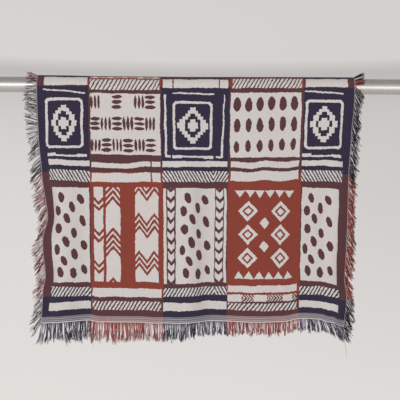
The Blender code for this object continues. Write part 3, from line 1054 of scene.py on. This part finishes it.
def side_colours(random, along, side):
    """Colours of one side's weft yarns, for the navy rows and for the rust ones."""
    along = along + random.normal(0, 0.003, len(along))
    navy = (np.minimum(along, CLOTH_LENGTH - along) < SIDE_RUST_START) | (
        (along > NAVY_WEFT[0]) & (along < NAVY_WEFT[1])
    )
    over = along - FRONT_DROP
    navy = navy | ((side > 0) & (over > BLACK_TUFT[0]) & (over < BLACK_TUFT[1]))
    black = pick_colours(random, BLACK_YARNS[side], len(along))
    warm = pick_colours(random, WARM_YARNS[side], len(along))
    return np.where(navy[:, None], black, warm)


def side_fringe(name, side, start, end, seed, finish):
    """The yarns beyond one selvedge, between two places along it, in fine bunches that slope down.

    Over the rod they reach outwards and a little up. Behind, they hang steeply and are shorter.
    """
    random = np.random.default_rng(seed)
    crowd = BEND_CROWD if start == FRONT_DROP else 1.0
    yarns = int(SIDE_YARNS[side] * crowd * (end - start) / FRONT_DROP)
    along = np.sort(random.uniform(start, end, yarns))
    bunch_middles, bunch = clumped(random, along, SIDE_BUNCH[side])
    middles, clump = clumped(random, bunch_middles, SIDE_CLUMP)
    bunches = bunch.max() + 1
    selvedge = 0.0 if side < 0 else CLOTH_WIDTH
    edge = hang(np.array([[selvedge, selvedge - side * EDGE_STEP]]), along)
    outwards = unit(edge[:, 0] - edge[:, 1])
    roots = edge[:, 0] - outwards * ROOT_DEPTH
    over = along - FRONT_DROP
    drop = np.where(over <= 0, -over, np.maximum(over - BEND_LENGTH, 0))
    behind = over >= BEND_LENGTH
    on_rod = (over > 0) & ~behind
    slope = np.where(behind, BACK_SLOPE, eased(SIDE_SLOPE, drop, 1 if side < 0 else 2))
    slope = np.radians(slope) + random.normal(0, 0.08, clump.max() + 1)[clump]
    slope = slope + random.normal(0, 0.13, bunches)[bunch] + random.normal(0, 0.03, yarns)
    ways = np.stack([side * np.cos(slope), np.zeros(yarns), -np.sin(slope)], axis=-1)
    turn = np.pi * np.clip(over / BEND_LENGTH, 0, 1)
    away = np.stack([np.zeros(yarns), -np.cos(turn), np.sin(turn)], axis=-1)
    lift = random.normal(0.10, 0.14, bunches)[bunch]
    flat = np.stack([np.full(yarns, side * 1.0), np.zeros(yarns), lift], axis=-1)
    ways = np.where(on_rod[:, None], flat, ways) + away * random.uniform(0.02, 0.12, (yarns, 1))
    falls = np.zeros((yarns, 3))
    falls[:, 2] = np.where(on_rod, 0.0, random.uniform(-0.22, 0.04, bunches)[bunch])
    gather = np.clip(1.3 - drop / 0.2, 0.15, 0.8) if side < 0 else 0.1
    falls[:, 2] += (middles - bunch_middles) * gather / SIDE_LENGTH[side] * (over <= 0)
    drift = np.zeros((yarns, 3))
    drift[:, 2] = np.where(on_rod, 0.0, (bunch_middles - along) * np.where(behind, -0.5, 0.5))
    drift = drift + away * random.uniform(0, 0.003, (yarns, 1))
    share = np.where(on_rod, 0.80, np.where(behind, 0.62, 1.0))
    lengths = SIDE_LENGTH[side] * share * random.uniform(0.82, 1.12, bunches)[bunch]
    lengths = lengths * random.uniform(0.92, 1.05, yarns)
    paths = yarn_paths(random, roots, ways, lengths, falls, drift, SIDE_CURL, bunch)
    radii = YARN_RADIUS * random.uniform(0.8, 1.2, yarns)
    colours = by_bunch(random, side_colours(random, along, side), bunch, 0.85)
    return make_yarns(name, paths, radii, colours, finish)


def make_rod(finish):
    """The round bar: a profile of radius by place along it, with chamfered ends, turned around X."""
    sides = 96
    place = np.array([0.0, ROD_CHAMFER, ROD_LENGTH - ROD_CHAMFER, ROD_LENGTH])[:, None]
    radius = ROD_RADIUS - np.array([ROD_CHAMFER, 0.0, 0.0, ROD_CHAMFER])[:, None]
    angle = 2 * np.pi * np.arange(sides) / sides
    rings = np.stack(np.broadcast_arrays(place, radius * np.cos(angle), radius * np.sin(angle)), axis=-1)
    number = np.arange(rings.shape[0] * sides).reshape(-1, sides)
    following = np.roll(number, -1, axis=1)
    walls = np.stack([number[1:], following[1:], following[:-1], number[:-1]], axis=-1)
    rod = make_mesh("rod_bar", rings, [walls.reshape(-1, 4), number[:1], number[-1:, ::-1]], [finish])
    rod.data.set_sharp_from_angle(angle=math.radians(30))
    return rod


def make_camera():
    """The photo's view: level, straight at the rod, and turned a little about the line of sight."""
    data = bpy.data.cameras.new("camera")
    data.sensor_width = 36.0
    data.lens = 67.8
    camera = bpy.data.objects.new("camera", data)
    camera.location = (0.920, -3.033, -0.4594)
    camera.rotation_euler = (math.radians(90), math.radians(-0.4), 0)
    bpy.context.scene.collection.objects.link(camera)
    bpy.context.scene.camera = camera


def add_light(name, place, target, size, power):
    """A soft rectangular light that faces a point."""
    data = bpy.data.lights.new(name, "AREA")
    data.shape = "RECTANGLE"
    data.size, data.size_y = size
    data.energy = power
    light = bpy.data.objects.new(name, data)
    light.location = place
    way = np.array(target, dtype=float) - place
    light.rotation_euler = (
        math.atan2(math.hypot(way[0], way[1]), -way[2]),
        0,
        math.atan2(way[1], way[0]) - math.pi / 2,
    )
    bpy.context.scene.collection.objects.link(light)


def make_studio():
    """A pale surround that darkens overhead, soft lights from the room's side, and a pale floor.

    The floor gives off a little light of its own, as one that windows out of view light would. The rod's
    soft shadow on the surround comes in over SHADOW_EDGE below SHADOW_TOP, and fades downwards as
    exp((height - SHADOW_PEAK) / SHADOW_FADE).
    """
    world = bpy.data.worlds.new("surround")
    bpy.context.scene.world = world
    shader = Shader(world)
    way = shader.split(shader.node("TexCoord", None, None, 0))
    # Painted shade on the surround where it stands for the wall: darker upwards, and darker to the right
    # near level.
    wall = shader.mix(way[2] * 2.0 + 0.5, linear(226, 222, 219), linear(213, 210, 208))
    level = 1.0 - abs(way[2] - 0.02) * 3.0
    right = (way[0] * 1.4 + 0.30).math("MAXIMUM", 0.0) * level.math("MAXIMUM", 0.0)
    wall = shader.mix(right, wall, linear(203, 199, 198))
    shade = ((SHADOW_TOP - way[2]) / SHADOW_EDGE).math("MAXIMUM", 0.0).math("MINIMUM", 1.0)
    shade = shade * ((way[2] - SHADOW_PEAK) / SHADOW_FADE).math("EXPONENT") * (way[1] > 0.0)
    wall = shader.mix(shade * 0.60, wall, linear(170, 166, 165))
    overhead = (way[2] - 0.30) * 2.5
    surround = shader.mix(overhead, wall, linear(170, 167, 165))
    background = shader.tree.nodes["Background"]
    shader.feed(background.inputs["Color"], surround)
    background.inputs["Strength"].default_value = 1.0
    add_light("window", (-1.4, -3.6, -0.5), (0.9, 0, -0.8), (2.4, 0.8), 35)
    add_light("room", (3.0, -3.6, -1.0), (0.9, 0, -0.8), (2.0, 1.9), 20)

    angle = 2 * np.pi * np.arange(FLOOR_SIDES) / FLOOR_SIDES
    disc = np.stack([np.cos(angle), np.sin(angle), np.zeros(FLOOR_SIDES)], axis=-1) * FLOOR_RADIUS
    disc = disc + [ROD_LENGTH / 2, 0, FLOOR_LEVEL]
    floor_shader = Shader(bpy.data.materials.new("pale floor"))
    grain = floor_shader.node("TexNoise", None, {"Scale": 30.0, "Detail": 3.0})
    colour = floor_shader.mix(grain, linear(232, 229, 226), linear(238, 235, 232))
    glow = floor_shader.tree.nodes["Principled BSDF"].inputs
    glow["Emission Color"].default_value = linear(255, 252, 248)
    glow["Emission Strength"].default_value = 0.16
    finish = floor_shader.finish(colour, 0.8)
    floor = make_mesh("floor", disc, [np.arange(FLOOR_SIDES)[None]], [finish])
    bpy.context.scene.view_settings.view_transform = "Standard"


make_camera()
make_studio()

rod = make_rod(brushed_metal())
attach(rod, "root")
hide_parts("rod")

blanket = make_blanket()
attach(blanket, "root")
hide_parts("blanket")

yarn = cotton_yarn()
bend_end = FRONT_DROP + BEND_LENGTH
fringes = {
    "fringe_front_hem": hem_fringe("front_hem_yarns", 0.0, 1, 11, HEM_YARNS, yarn, LOOSE_YARNS),
    "fringe_back_hem": hem_fringe("back_hem_yarns", CLOTH_LENGTH, -1, 12, BACK_HEM_YARNS, yarn),
    "fringe_left_front": side_fringe("left_front_yarns", -1, 0.0, FRONT_DROP, 13, yarn),
    "fringe_left_bend": side_fringe("left_bend_yarns", -1, FRONT_DROP, bend_end, 14, yarn),
    "fringe_left_back": side_fringe("left_back_yarns", -1, bend_end, CLOTH_LENGTH, 15, yarn),
    "fringe_right_front": side_fringe("right_front_yarns", 1, 0.0, FRONT_DROP, 16, yarn),
    "fringe_right_bend": side_fringe("right_bend_yarns", 1, FRONT_DROP, bend_end, 17, yarn),
    "fringe_right_back": side_fringe("right_back_yarns", 1, bend_end, CLOTH_LENGTH, 18, yarn),
}
for node, piece in fringes.items():
    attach(piece, "root")
    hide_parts(node)
